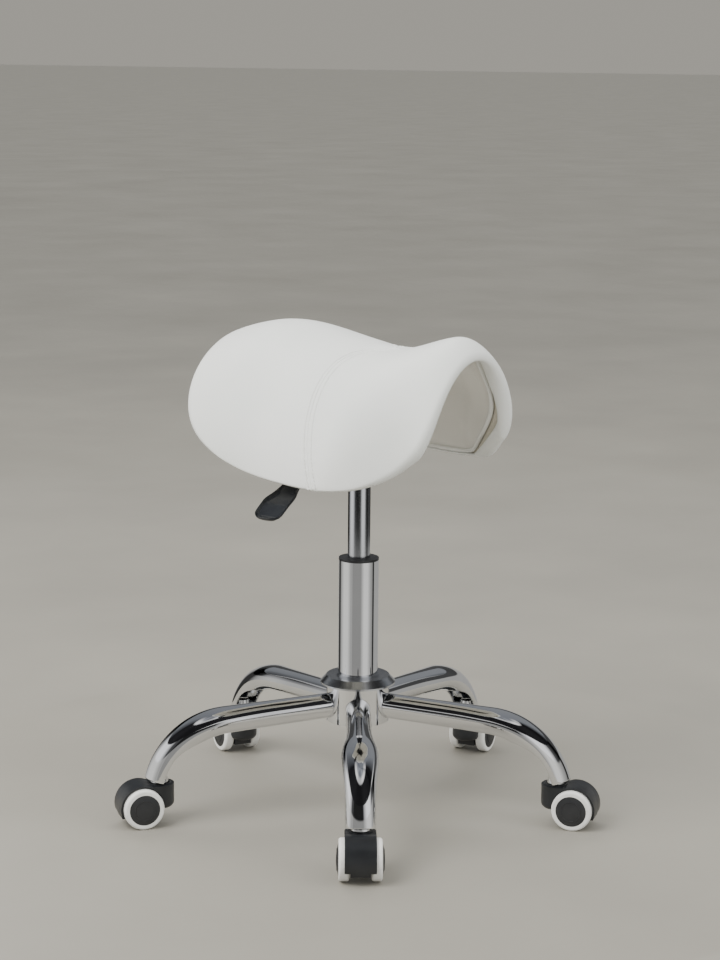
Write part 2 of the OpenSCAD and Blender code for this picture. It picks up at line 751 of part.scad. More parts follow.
base_hub();
hub_cap();
column_tube();
guide_bush();
stem_sockets();
castor_stems();
lower_race();
bearing_balls();
upper_race();
piston_rod();
rod_piston();
rod_clip();
gas_cylinder();
valve_pin();
seat_plate();
seat_bolts();
tee_nuts();
seat_shell();
foam_pad();
cover_front();
cover_rear();
lining();
piping();
lever_rod();
lever_paddle();
for (k = leg_numbers) {
    leg(k);
    castor_hood(k);
    castor_axle(k);
    castor_tyre(k, -1);
    castor_tyre(k, 1);
    castor_wheel(k, -1);
    castor_wheel(k, 1);
}
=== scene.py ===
import bpy
import numpy as np
from mathutils import Matrix


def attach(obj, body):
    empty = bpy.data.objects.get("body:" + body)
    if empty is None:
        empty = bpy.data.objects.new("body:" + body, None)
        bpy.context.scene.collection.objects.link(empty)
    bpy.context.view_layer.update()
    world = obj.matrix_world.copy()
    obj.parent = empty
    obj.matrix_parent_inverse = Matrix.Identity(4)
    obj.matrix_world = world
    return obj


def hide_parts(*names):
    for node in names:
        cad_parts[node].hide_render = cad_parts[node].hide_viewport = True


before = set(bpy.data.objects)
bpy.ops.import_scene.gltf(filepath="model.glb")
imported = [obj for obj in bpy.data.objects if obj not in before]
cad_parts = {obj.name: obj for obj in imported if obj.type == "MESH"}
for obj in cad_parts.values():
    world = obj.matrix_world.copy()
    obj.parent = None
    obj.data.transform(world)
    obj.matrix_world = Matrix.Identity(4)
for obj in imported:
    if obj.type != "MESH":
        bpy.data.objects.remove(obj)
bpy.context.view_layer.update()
scene = bpy.context.scene

MM = 0.001
LEGS = 5


# ---------- Camera ----------

CAMERA_TURN, CAMERA_DIP, CAMERA_ROLL = 35.0, 10.547, 0.5
CAMERA_AWAY, AIM_ASIDE, AIM_HEIGHT = 2.8634, 0.0006, 0.4165
LENS, SENSOR_W, SENSOR_H = 86.637, 27.0, 36.0
FLOOR_REACH = 90.0
FARTHEST_SEEN = 300.0


def aim_camera():
    """A long lens looking a little down at the stool, turned off the seat's length, rolled slightly."""
    turn, pitch, roll = np.radians(CAMERA_TURN), np.radians(CAMERA_DIP), np.radians(CAMERA_ROLL)
    level = np.array([np.cos(turn), np.sin(turn), 0.0])
    side = np.array([np.sin(turn), -np.cos(turn), 0.0])
    up = np.array([0.0, 0.0, 1.0])
    ahead = np.cos(pitch) * level - np.sin(pitch) * up
    over = np.sin(pitch) * level + np.cos(pitch) * up
    right = np.cos(roll) * side + np.sin(roll) * over
    top = -np.sin(roll) * side + np.cos(roll) * over
    place = AIM_ASIDE * side + AIM_HEIGHT * up - CAMERA_AWAY * ahead
    data = bpy.data.cameras.new("camera")
    data.sensor_fit = "VERTICAL"
    data.sensor_height = SENSOR_H
    data.sensor_width = SENSOR_W
    data.lens = LENS
    data.clip_end = FARTHEST_SEEN
    camera = bpy.data.objects.new("camera", data)
    scene.collection.objects.link(camera)
    pose = np.eye(4)
    pose[:3, 0], pose[:3, 1], pose[:3, 2], pose[:3, 3] = right, top, -ahead, place
    camera.matrix_world = Matrix(pose.tolist())
    scene.camera = camera
    return level, side


LEVEL, SIDE = aim_camera()


# ---------- Finishes ----------

class Nodes:
    """The nodes of one tree, added and joined step by step."""

    def __init__(self, tree):
        self.tree = tree
        tree.nodes.clear()

    def add(self, kind, **settings):
        node = self.tree.nodes.new(kind)
        for key, value in settings.items():
            setattr(node, key, value)
        return node

    def join(self, a, b):
        self.tree.links.new(a, b)

    def math(self, how, a, b):
        """One sum on two values, each a number or another node's output."""
        node = self.add("ShaderNodeMath", operation=how)
        for socket, value in zip(node.inputs, (a, b)):
            if isinstance(value, (int, float)):
                socket.default_value = value
            else:
                self.join(value, socket)
        return node.outputs[0]

    def ramp(self, fac, stops):
        """Colours at stops along a factor from nought to one."""
        node = self.add("ShaderNodeValToRGB")
        band = node.color_ramp
        while len(band.elements) < len(stops):
            band.elements.new(0.5)
        for element, (at, colour) in zip(band.elements, stops):
            element.position = at
            element.color = (*colour, 1.0)
        self.join(fac, node.inputs["Fac"])
        return node.outputs["Color"]

    def mix(self, how, a, b, fac):
        """Two colours put together by a factor; a plain number or colour may stand for a node."""
        node = self.add("ShaderNodeMix", data_type="RGBA", blend_type=how)
        for label, value in ((0, fac), (6, a), (7, b)):
            if isinstance(value, (float, tuple)):
                node.inputs[label].default_value = value
            else:
                self.join(value, node.inputs[label])
        return node.outputs[2]


class Finish(Nodes):
    """A material for one finish; its patterns read Object coordinates."""

    def __init__(self, name, metal=0.0, **sockets):
        self.material = bpy.data.materials.new(name)
        self.material.use_nodes = True
        super().__init__(self.material.node_tree)
        self.shader = self.add("ShaderNodeBsdfPrincipled")
        self.surface = self.add("ShaderNodeOutputMaterial").inputs["Surface"]
        self.join(self.shader.outputs["BSDF"], self.surface)
        self.shader.inputs["Metallic"].default_value = metal
        for label, value in sockets.items():
            self.shader.inputs[label.replace("_", " ")].default_value = value
        self.place = self.add("ShaderNodeTexCoord").outputs["Object"]

    def stretched(self, scale):
        """Object coordinates stretched by a factor along each axis."""
        node = self.add("ShaderNodeMapping")
        node.inputs["Scale"].default_value = scale
        self.join(self.place, node.inputs["Vector"])
        return node.outputs["Vector"]

    def noise(self, scale, detail=3.0, rough=0.5, at=None):
        """Clouds: the larger the scale, the finer they are."""
        node = self.add("ShaderNodeTexNoise")
        node.inputs["Scale"].default_value = scale
        node.inputs["Detail"].default_value = detail
        node.inputs["Roughness"].default_value = rough
        self.join(at or self.place, node.inputs["Vector"])
        return node.outputs["Fac"]

    def cells(self, scale, at=None):
        """Small rounded cells, as a pebbled grain has."""
        node = self.add("ShaderNodeTexVoronoi", feature="SMOOTH_F1")
        node.inputs["Scale"].default_value = scale
        self.join(at or self.place, node.inputs["Vector"])
        return node.outputs["Distance"]

    def bands(self, scale, direction, distortion=0.0):
        """Parallel ridges across one direction, as threads or veneers have."""
        node = self.add("ShaderNodeTexWave", bands_direction=direction)
        node.inputs["Scale"].default_value = scale
        node.inputs["Distortion"].default_value = distortion
        self.join(self.place, node.inputs["Vector"])
        return node.outputs["Fac"]

    def colour(self, fac, low, high):
        """Base colour from low to high as a pattern goes through its middle values."""
        self.join(self.ramp(fac, [(0.3, low), (0.7, high)]), self.shader.inputs["Base Color"])
        return self

    def roughness(self, fac, low, high):
        """Roughness from low to high over the same middle values."""
        node = self.add("ShaderNodeMapRange")
        node.inputs["From Min"].default_value = 0.3
        node.inputs["From Max"].default_value = 0.7
        node.inputs["To Min"].default_value = low
        node.inputs["To Max"].default_value = high
        self.join(fac, node.inputs["Value"])
        self.join(node.outputs["Result"], self.shader.inputs["Roughness"])
        return self

    def bump(self, height, depth, strength):
        """Fine relief of a depth in metres."""
        node = self.add("ShaderNodeBump")
        node.inputs["Distance"].default_value = depth
        node.inputs["Strength"].default_value = strength
        self.join(height, node.inputs["Height"])
        self.join(node.outputs["Normal"], self.shader.inputs["Normal"])
        return self


def make_leather():
    """White coated leather cloth: fine pebbled grain, faint pores, faint warm and cool clouds."""
    f = Finish("white_leather", Coat_Weight=0.06, Coat_Roughness=0.35, Sheen_Weight=0.12)
    grain = f.math("MULTIPLY", f.cells(1150.0), 0.75)
    pores = f.math("MULTIPLY", f.noise(420.0, 4.0, 0.6), 0.5)
    f.colour(f.noise(9.0, 4.0), (0.82, 0.845, 0.82), (0.88, 0.895, 0.875))
    f.roughness(f.noise(38.0, 3.0), 0.42, 0.54)
    return f.bump(f.math("ADD", grain, pores), 0.00022, 0.30)


def make_chrome():
    """Bright chrome plate with the faintest haze and cloudiness from polishing."""
    f = Finish("chrome_plate", metal=1.0)
    f.colour(f.noise(14.0, 3.0), (0.80, 0.81, 0.83), (0.87, 0.875, 0.885))
    f.roughness(f.noise(55.0, 5.0, 0.65), 0.035, 0.075)
    return f.bump(f.noise(90.0, 2.0), 0.00004, 0.25)


def make_satin(name, low, high, smooth, coarse, along):
    """Satin steel: fine brushing drawn out along one axis."""
    f = Finish(name, metal=1.0)
    lines = f.noise(30.0, 5.0, 0.7, f.stretched(along))
    f.colour(lines, low, high)
    f.roughness(lines, smooth, coarse)
    return f.bump(lines, 0.00005, 0.35)


def make_plastic(name, low, high, smooth, coarse, grain, depth=0.00012):
    """Moulded plastic: a fine spark-eroded grain with worn, shinier clouds."""
    f = Finish(name)
    f.colour(f.noise(26.0, 4.0), low, high)
    f.roughness(f.noise(70.0, 4.0, 0.6), smooth, coarse)
    return f.bump(f.noise(grain, 2.0), depth, 0.5)


def make_cloth(name, low, high):
    """Plain woven cloth: two crossed sets of fine threads, one breaking up the other."""
    f = Finish(name, Sheen_Weight=0.2)
    weave = f.math("MULTIPLY", f.bands(420.0, "Y", 0.6), f.bands(420.0, "DIAGONAL", 0.6))
    threads = f.math("MULTIPLY", weave, 0.35)
    clouds = f.math("MULTIPLY", f.noise(12.0, 4.0), 0.65)
    f.colour(f.math("ADD", threads, clouds), low, high)
    f.roughness(f.noise(200.0, 3.0), 0.75, 0.9)
    return f.bump(weave, 0.0003, 0.5)


def make_ply():
    """Moulded plywood: brown and straw-coloured veneers in thin layers."""
    f = Finish("moulded_ply")
    layers = f.bands(260.0, "Z", 1.5)
    f.colour(layers, (0.36, 0.23, 0.12), (0.62, 0.46, 0.28))
    f.roughness(f.noise(120.0, 4.0), 0.5, 0.7)
    return f.bump(layers, 0.0002, 0.4)


def make_tyre():
    """White soft tread: slightly greyed towards the floor's dust, with a dull skin."""
    f = Finish("white_tread")
    f.colour(f.noise(60.0, 5.0, 0.6), (0.74, 0.74, 0.72), (0.86, 0.86, 0.845))
    f.roughness(f.noise(150.0, 3.0), 0.38, 0.52)
    return f.bump(f.noise(700.0, 2.0), 0.0001, 0.4)


LEATHER = make_leather()
CHROME = make_chrome()
CAP_METAL = make_satin("satin_cap", (0.56, 0.575, 0.60), (0.64, 0.655, 0.68),
                       0.20, 0.28, (1.0, 1.0, 1.0))
LIFT_STEEL = make_satin("lift_steel", (0.50, 0.51, 0.53), (0.66, 0.67, 0.69),
                        0.13, 0.24, (9.0, 9.0, 0.25))
GROUND_STEEL = make_satin("ground_steel", (0.46, 0.47, 0.49), (0.62, 0.63, 0.64),
                          0.25, 0.4, (1.0, 1.0, 12.0))
ZINC = make_satin("zinc_plate", (0.52, 0.51, 0.47), (0.70, 0.68, 0.62), 0.3, 0.45, (1.0, 1.0, 1.0))
HOOD_PLASTIC = make_plastic("hood_nylon", (0.010, 0.011, 0.013), (0.022, 0.024, 0.027),
                            0.30, 0.44, 900.0)
WHEEL_PLASTIC = make_plastic("wheel_nylon", (0.016, 0.017, 0.019), (0.034, 0.035, 0.038),
                             0.38, 0.52, 1400.0)
BUSH_PLASTIC = make_plastic("bush_plastic", (0.012, 0.013, 0.015), (0.03, 0.031, 0.034),
                            0.34, 0.46, 800.0)
LEVER_PLASTIC = make_plastic("lever_plastic", (0.008, 0.009, 0.011), (0.020, 0.022, 0.026),
                             0.16, 0.26, 700.0, 0.00006)
PLATE_PAINT = make_plastic("black_powder_coat", (0.012, 0.012, 0.013), (0.03, 0.03, 0.032),
                           0.42, 0.56, 600.0, 0.0002)
TREAD = make_tyre()
LINING = make_cloth("lining_cloth", (0.80, 0.785, 0.735), (0.88, 0.865, 0.815))
# Beige binding cloth, made darker than the lining: the beige is the cloth's own, and the extra darkness
# is painted shade for the recessed strip between the cover's fold and the piping.
BINDING_CLOTH_PAINTED_SHADE = make_cloth("binding_cloth_painted_shade", (0.62, 0.58, 0.49), (0.74, 0.70, 0.61))
PIPING = make_plastic("piping_vinyl", (0.82, 0.825, 0.80), (0.88, 0.885, 0.865), 0.36, 0.48, 500.0)
PLY = make_ply()


def dress(piece, finish):
    """Give a piece one finish all over."""
    piece.data.materials.clear()
    piece.data.materials.append(finish.material)
    return piece


# ---------- Making surfaces ----------

def grid_faces(rows, cols, wrap_rows=False, wrap_cols=False):
    """Square faces between neighbours of a grid of points; a wrapped way closes on itself."""
    i = np.arange(rows if wrap_rows else rows - 1)[:, None]
    j = np.arange(cols if wrap_cols else cols - 1)[None, :]
    i2, j2 = (i + 1) % rows, (j + 1) % cols
    corners = [i * cols + j, i * cols + j2, i2 * cols + j2, i2 * cols + j]
    return np.stack([np.broadcast_to(c, (i.size, j.size)).ravel() for c in corners], axis=1)


def fans(ring, pole):
    """Triangles from a closed ring of points to one pole point."""
    return np.stack([ring, np.roll(ring, -1), np.full(ring.size, pole)], axis=1)


def volume_of(points, faces):
    """Signed volume inside faces cut into triangles, positive when they point outwards."""
    tris = np.vstack([faces[:, [0, 1, 2]], faces[:, [0, 2, 3]]]) if faces.shape[1] == 4 else faces
    a, b, c = points[tris[:, 0]], points[tris[:, 1]], points[tris[:, 2]]
    return float(np.einsum("ij,ij->i", a, np.cross(b, c)).sum())


def solid_piece(name, points, groups, finish, body, replaces=()):
    """A mesh from points in millimetres and groups of faces, turned outwards as one closed skin."""
    centred = points - points.mean(axis=0)
    if sum(volume_of(centred, g) for g in groups) < 0:
        groups = [g[:, ::-1] for g in groups]
    mesh = bpy.data.meshes.new(name)
    faces = [f for g in groups for f in g.tolist()]
    mesh.from_pydata((points * MM).tolist(), [], faces)
    mesh.polygons.foreach_set("use_smooth", np.ones(len(faces), bool))
    mesh.update()
    piece = bpy.data.objects.new(name, mesh)
    scene.collection.objects.link(piece)
    dress(piece, finish)
    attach(piece, body)
    if replaces:
        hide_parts(*replaces)
    return piece


def capped_rings(name, rings, finish, body, replaces=(), poles=None):
    """Closed rings of points joined one to the next, with each end drawn to a pole."""
    rows, cols = rings.shape[:2]
    first, last = poles if poles is not None else (rings[0].mean(axis=0), rings[-1].mean(axis=0))
    points = np.vstack([rings.reshape(-1, 3), first, last])
    start, end = np.arange(cols), np.arange(cols) + (rows - 1) * cols
    groups = [grid_faces(rows, cols, wrap_cols=True),
              fans(start, rows * cols)[:, ::-1], fans(end, rows * cols + 1)]
    return solid_piece(name, points, groups, finish, body, replaces)


def ring_loop(name, loops, finish, body, replaces=()):
    """A closed section carried round a closed path: both ways of the grid wrap."""
    rows, cols = loops.shape[:2]
    groups = [grid_faces(rows, cols, True, True)]
    return solid_piece(name, loops.reshape(-1, 3), groups, finish, body, replaces)


def unit(v):
    """Arrows scaled to a length of one."""
    return v / np.linalg.norm(v, axis=-1, keepdims=True)


# ---------- Seat form ----------

SEAT_SHIFT, SEAT_FRONT, SEAT_BACK = 12.0, 160.0, 192.0
NOSE, TAIL = SEAT_SHIFT + SEAT_FRONT, SEAT_SHIFT - SEAT_BACK
DIP_Y, DIP_Z = 60.0, 586.0
REAR_RISE, POMMEL_RISE = 26.0, 21.0
ARCH_W, ARCH_FALL = (160.0, 171.0, 112.0), (173.0, 158.0, 184.0)
NOSE_POWER, TAIL_POWER, FLAP_REACH = 4.35, 3.3, 0.96
FLAP_PAD, CROWN_PAD, SHELL_T = 14.0, 34.0, 8.0
SEAM_Y, SEAM_BOW, SEAM_PEAK = 9.0, 46.0, 50.0
ACROSS_PER_Q, FLAP_PER_Q, FLAP_EDGE_Q = 256.0, 243.0, 0.9595
OUTSET, SNUG = 5.0, 0.36
NOSE_OUTSET = 1.5


def ease(x):
    """Nought to one, flat at both ends: three squares less two cubes."""
    c = np.clip(x, 0.0, 1.0)
    return c * c * (3.0 - 2.0 * c)


def front_part(s):
    """Nought at the dip and behind it, easing to one shortly before the nose."""
    return ease((s - DIP_Y) / (NOSE - 20.0 - DIP_Y))


def rear_part(s):
    """Nought at the dip and ahead of it, easing to one shortly before the tail."""
    return ease((DIP_Y - s) / (DIP_Y - TAIL) / 0.8)


def along(s, rear, dip, front):
    """A value that is rear at the tail, dip at the dip and front at the nose, eased between them."""
    return dip + (front - dip) * front_part(s) + (rear - dip) * rear_part(s)


def ridge(s):
    """Height of the ridge: the dip, raised to a rear lobe and a pommel, rolled down at both ends."""
    nose_roll = 23.0 * np.maximum(0.0, (s - NOSE + 35.0) / 35.0) ** 2
    tail_roll = 20.0 * np.maximum(0.0, (TAIL + 120.0 - s) / 120.0) ** 2.5
    return DIP_Z + along(s, REAR_RISE, 0.0, POMMEL_RISE) - nose_roll - tail_roll


def saddle(s, q):
    """A point of the saddle: a half arch across, whose width and fall change along the ridge."""
    turn = np.pi / 2.0 * q
    wide, fall = along(s, *ARCH_W), along(s, *ARCH_FALL)
    height = ridge(s) - fall * (1.0 - np.cos(turn))
    return np.stack([wide * np.sin(turn), -s + 0.0 * q, height], axis=-1)


def saddle_normal(s, q):
    """Which way the saddle faces: the cross product of short steps across it and along it."""
    across = saddle(s, q + 0.01) - saddle(s, q - 0.01)
    back = saddle(s - 1.0, q) - saddle(s + 1.0, q)
    return unit(np.cross(across, back))


def below(s, q, depth):
    """The point a depth under the saddle, square to it."""
    return saddle(s, q) - np.asarray(depth)[..., None] * saddle_normal(s, q)


def station(x):
    """Millimetres along the seat for x from minus one, the tail, to one, the nose."""
    return SEAT_SHIFT + x * np.where(x > 0, SEAT_FRONT, SEAT_BACK)


def outline(count):
    """The seat's outline, evenly spaced: two superellipses that meet at the widest line."""
    t = np.linspace(0.0, 2.0 * np.pi, 40001)
    power = 2.0 / np.where(np.cos(t) > 0, NOSE_POWER, TAIL_POWER)
    x = np.sign(np.cos(t)) * np.abs(np.cos(t)) ** power
    q = FLAP_REACH * np.sign(np.sin(t)) * np.abs(np.sin(t)) ** power
    step = np.linalg.norm(np.diff(saddle(station(x), q), axis=0), axis=1)
    run = np.concatenate([[0.0], np.cumsum(step)])
    even = np.linspace(0.0, run[-1], count, endpoint=False)
    return np.interp(even, run, x), np.interp(even, run, q)


class Rim:
    """The outline, with how far a share of its reach is in millimetres, square to the edge."""

    def __init__(self, count):
        self.x, self.q = outline(count)
        edge = saddle(station(self.x), self.q)
        inner = saddle(station(self.x * 0.97), self.q * 0.97)
        heading = unit(np.roll(edge, -1, axis=0) - np.roll(edge, 1, axis=0))
        reach = np.linalg.norm(np.cross((edge - inner) / 0.03, heading), axis=1)
        kernel = np.exp(-np.linspace(-2.0, 2.0, 9) ** 2)
        padded = np.concatenate([reach[-4:], reach, reach[:4]])
        self.reach = np.convolve(padded, kernel / kernel.sum(), mode="valid")
        ends = np.maximum(ease((self.x - 0.46) / 0.26), ease((-self.x - 0.5) / 0.45))
        self.width = SNUG + (1.0 - SNUG) * ends
        self.outset = OUTSET + (NOSE_OUTSET - OUTSET) * ease((self.x - 0.5) / 0.45)
        blur = 15.0 * count / 1290.0 * np.fft.rfftfreq(count)
        self.filter = np.exp(-2.0 * (np.pi * blur) ** 2)

    def rounded(self, values):
        """Values round the rim, smoothed over about 15 mm each way."""
        return np.fft.irfft(np.fft.rfft(values, axis=-1) * self.filter, values.shape[-1], axis=-1)

    def share(self, margin):
        """Share of the outline's reach that leaves a margin, which narrows along the flaps."""
        return 1.0 - (np.asarray(margin)[..., None] * self.width - self.outset) / self.reach

    def at(self, share, depth):
        """Points at shares of the reach, a depth down; depth may depend on s, q and the margin.
        Further in than the rolled edge, the outline's corners are rounded off."""
        s, q = station(share * self.x), share * self.q
        margin = ((1.0 - share) * self.reach + self.outset) / self.width
        inner = ease((margin - 9.0) / 8.0)
        s, q = s + inner * (self.rounded(s) - s), q + inner * (self.rounded(q) - q)
        if callable(depth):
            depth = depth(s, q, margin)
        return below(s, q, np.broadcast_to(depth, s.shape))


def shell_depth(s, q):
    """Padding over the shell: the flap's, plus the crown's extra times cos^2 of the arch's turn."""
    crown = CROWN_PAD + 26.0 * rear_part(s) - 10.0 * front_part(s)
    return FLAP_PAD + (crown - FLAP_PAD) * np.cos(np.pi / 2.0 * q) ** 2


LINING_EDGE, PIPING_IN = 18.6, 22.6
BEAD_R, BEAD_DOWN = 3.1, 2.2


def lining_depth(s, q, margin):
    """Depth of the lining: shallow along its piped edge, easing to the shell's underside further in."""
    deep, edge = shell_depth(s, q) + SHELL_T + 1.0, LINING_EDGE * slim(s, q)
    return edge + (deep - edge) * ease((margin - PIPING_IN - 1.0) / 40.0)


def seam_place(q):
    """The cross seam: a bow that grows with q squared, and a forward peak that fades from the ridge."""
    return SEAM_Y + SEAM_BOW * q * q + SEAM_PEAK * np.exp(-(np.sqrt(q * q + 0.0016) - 0.04) / 0.12)


def seam_slant(q):
    """How far the seam moves along the seat for each millimetre across it."""
    return (seam_place(q + 0.002) - seam_place(q - 0.002)) / 0.004 / ACROSS_PER_Q


def seam_distance(s, q):
    """Distance from the cross seam, allowing for its slant."""
    return (s - seam_place(q)) / np.sqrt(1.0 + seam_slant(q) ** 2)


def slim(s, q):
    """The padding's edge keeps its thickness along the flaps and is slimmer over the pommel's top."""
    return 1.0 - 0.5 * ease((s - 105.0) / 60.0) * (1.0 - ease(np.abs(q) / 0.45))


def slimmed(depth):
    """A depth that is slimmer over the pommel's top, as a rule of s, q and margin."""
    return lambda s, q, margin: depth * slim(s, q)


ROLL_IN, ROLL_T = 10.0, 22.0


def cover_dip(s, q, margin):
    """How far the cover is drawn down: two bells over the seam, a pucker that is a sine along it, and
    soft swells, the product of two slow sines, that fade out towards the edge."""
    near = seam_distance(s, q)
    pull = 1.1 * np.exp(-(near / 13.0) ** 2) + 0.7 * np.exp(-(near / 6.0) ** 2)
    swell = 0.5 * np.sin(s / 31.0 + 2.3 * q) * np.sin(2.9 * q - s / 57.0)
    pucker = 0.16 * np.sin(q * 115.0) * np.exp(-(near / 16.0) ** 2)
    return pull + pucker + swell * ease(margin / 40.0)


def make_cushion():
    """Padded cover: the saddle's top, rolled over its edge in a half oval and folded under."""
    rim = Rim(420)
    top = rim.share(ROLL_IN) * (np.arange(1, 96) / 96.0)[:, None]
    rings = [rim.at(top, cover_dip)]
    phi = np.linspace(0.0, np.pi, 19)
    roll_margin = ROLL_IN * (1.0 - np.sin(phi))
    roll_depth = ROLL_T / 2.0 * (1.0 - np.cos(phi))
    fade = np.cos(phi / 2.0)[:, None] ** 2
    rings.append(rim.at(
        rim.share(roll_margin),
        lambda s, q, m: roll_depth[:, None] * slim(s, q) + fade * cover_dip(s, q, m)))
    fold = [(11.4, ROLL_T - 0.4), (12.2, ROLL_T - 1.6), (12.5, ROLL_T - 4.0),
            (12.6, 10.5), (14.5, 9.4)]
    rings += [rim.at(rim.share(m)[None], slimmed(d)) for m, d in fold]
    under = rim.share(18.0) * (1.0 - np.arange(1, 25) / 25.0)[:, None]
    rings.append(rim.at(under, lambda s, q, m: lining_depth(s, q, m) - 9.6))
    mid_s, mid_q = np.array([SEAT_SHIFT]), np.array([0.0])
    poles = (below(mid_s, mid_q, cover_dip(mid_s, mid_q, 99.0))[0],
             below(mid_s, mid_q, lining_depth(mid_s, mid_q, 99.0) - 9.6)[0])
    piece = capped_rings("padded_cover", np.vstack(rings), LEATHER, "seat",
                         ("foam_pad", "cover_front", "cover_rear"), poles)
    return piece


def closed_sheet(name, rim, outer, inner, depth_out, depth_in, finish, replaces=()):
    """A plate with an outer skin and an inner skin at two depths, closed along its edge."""
    mid_s, mid_q = np.array([SEAT_SHIFT]), np.array([0.0])
    rings = np.vstack([rim.at(inner, depth_in), rim.at(outer, depth_out)])
    poles = (below(mid_s, mid_q, depth_in(mid_s, mid_q, 99.0))[0],
             below(mid_s, mid_q, depth_out(mid_s, mid_q, 99.0))[0])
    return capped_rings(name, rings, finish, "seat", replaces, poles)


def make_under_seat():
    """Moulded shell, the lining drawn over its underside, the binding and the piping round its edge."""
    rim = Rim(300)
    grow = (np.arange(1, 41) / 40.0)[:, None]
    shell = rim.share(PIPING_IN + 1.0) * grow
    closed_sheet("moulded_shell", rim, shell[::-1], shell,
                 lambda s, q, m: lining_depth(s, q, m) - 0.9,
                 lambda s, q, m: lining_depth(s, q, m) - 8.6, PLY, ("seat_shell",))
    wrap = np.vstack([rim.share(PIPING_IN + 0.6) * grow, rim.share(PIPING_IN + 0.4)[None],
                      rim.share(PIPING_IN)[None]])
    drop = np.concatenate([np.zeros(40), [0.3, 4.0]])[:, None]
    lining = closed_sheet("seat_lining", rim, wrap[::-1], wrap,
                          lambda s, q, m: lining_depth(s, q, m) + 0.9 - drop[::-1],
                          lambda s, q, m: lining_depth(s, q, m) - 0.1 - drop, LINING,
                          ("lining",))
    section = [(12.7, 17.6), (17.0, 18.1), (22.0, 17.6), (22.0, 16.4), (17.0, 16.9), (12.7, 16.4)]
    loops = np.stack([rim.at(rim.share(m), slimmed(d)) for m, d in section], axis=1)
    # The binding's colour carries painted shade of its recessed strip.
    ring_loop("edge_binding", loops, BINDING_CLOTH_PAINTED_SHADE, "seat")
    angle = np.linspace(0.0, 2.0 * np.pi, 16, endpoint=False)
    beads = [rim.at(rim.share(PIPING_IN) - BEAD_R * c / rim.reach,
                    lambda s, q, _, d=d: LINING_EDGE * slim(s, q) + BEAD_DOWN + BEAD_R * d)
             for c, d in zip(np.cos(angle), np.sin(angle))]
    ring_loop("edge_piping", np.stack(beads, axis=1), PIPING, "seat", ("piping",))
    return lining


def seam_base(lam, v):
    """The cover's skin along the cross seam: lam runs over the arch, then round the half oval of each
    rolled edge; v is millimetres across the seam."""
    edge_q = FLAP_EDGE_Q + OUTSET / FLAP_PER_Q
    roll = ROLL_IN * SNUG / FLAP_PER_Q
    flat = edge_q - roll
    side, far = np.sign(lam), np.abs(lam)
    phi = np.clip(far - 1.0, 0.0, 1.0) * np.pi * 0.93
    q = side * np.where(far < 1.0, flat * far, edge_q - roll * (1.0 - np.sin(phi)))
    held = np.clip(q, -flat, flat)
    slant = seam_slant(held) * (far < 1.0)
    s = seam_place(held) + v / np.sqrt(1.0 + slant ** 2)
    q = q - v * slant / np.sqrt(1.0 + slant ** 2) / ACROSS_PER_Q
    dip = np.cos(phi / 2.0) ** 2 * cover_dip(s, q, np.float64(99.0))
    return below(s, q, ROLL_T / 2.0 * (1.0 - np.cos(phi)) + dip)


def seam_lengths(count, v):
    """Steps along the seam that are even in millimetres, at a distance v from its middle."""
    lam = np.linspace(-1.9, 1.9, 4001)
    path = seam_base(lam, np.full(lam.shape, v))
    run = np.concatenate([[0.0], np.cumsum(np.linalg.norm(np.diff(path, axis=0), axis=1))])
    even = np.linspace(0.0, run[-1], count)
    return np.interp(even, run, lam), run[-1]


def make_seam():
    """Double-stitched seam: a band whose height is a flat-topped hump less three bells, one groove
    down its middle and one for each row of thread."""
    lam, _ = seam_lengths(420, 0.0)
    v = np.linspace(-8.2, 8.2, 42)
    base = seam_base(lam[:, None], v[None, :] + 0.0 * lam[:, None])
    normal = unit(np.cross(np.gradient(base, axis=0), np.gradient(base, axis=1)))
    if normal[210, 21, 2] < 0:
        normal = -normal
    height = (0.95 * (1.0 - np.abs(v / 8.2) ** 4) - 0.15
              - 1.5 * np.exp(-(v / 0.8) ** 2) - 0.75 * np.exp(-((np.abs(v) - 5.0) / 0.8) ** 2))
    skin = base + height[None, :, None] * normal
    under = base[:, ::-1] - 1.8 * normal[:, ::-1]
    loops = np.concatenate([skin, under], axis=1)
    capped_rings("seam_band", loops, LEATHER, "seat")
    make_stitches()


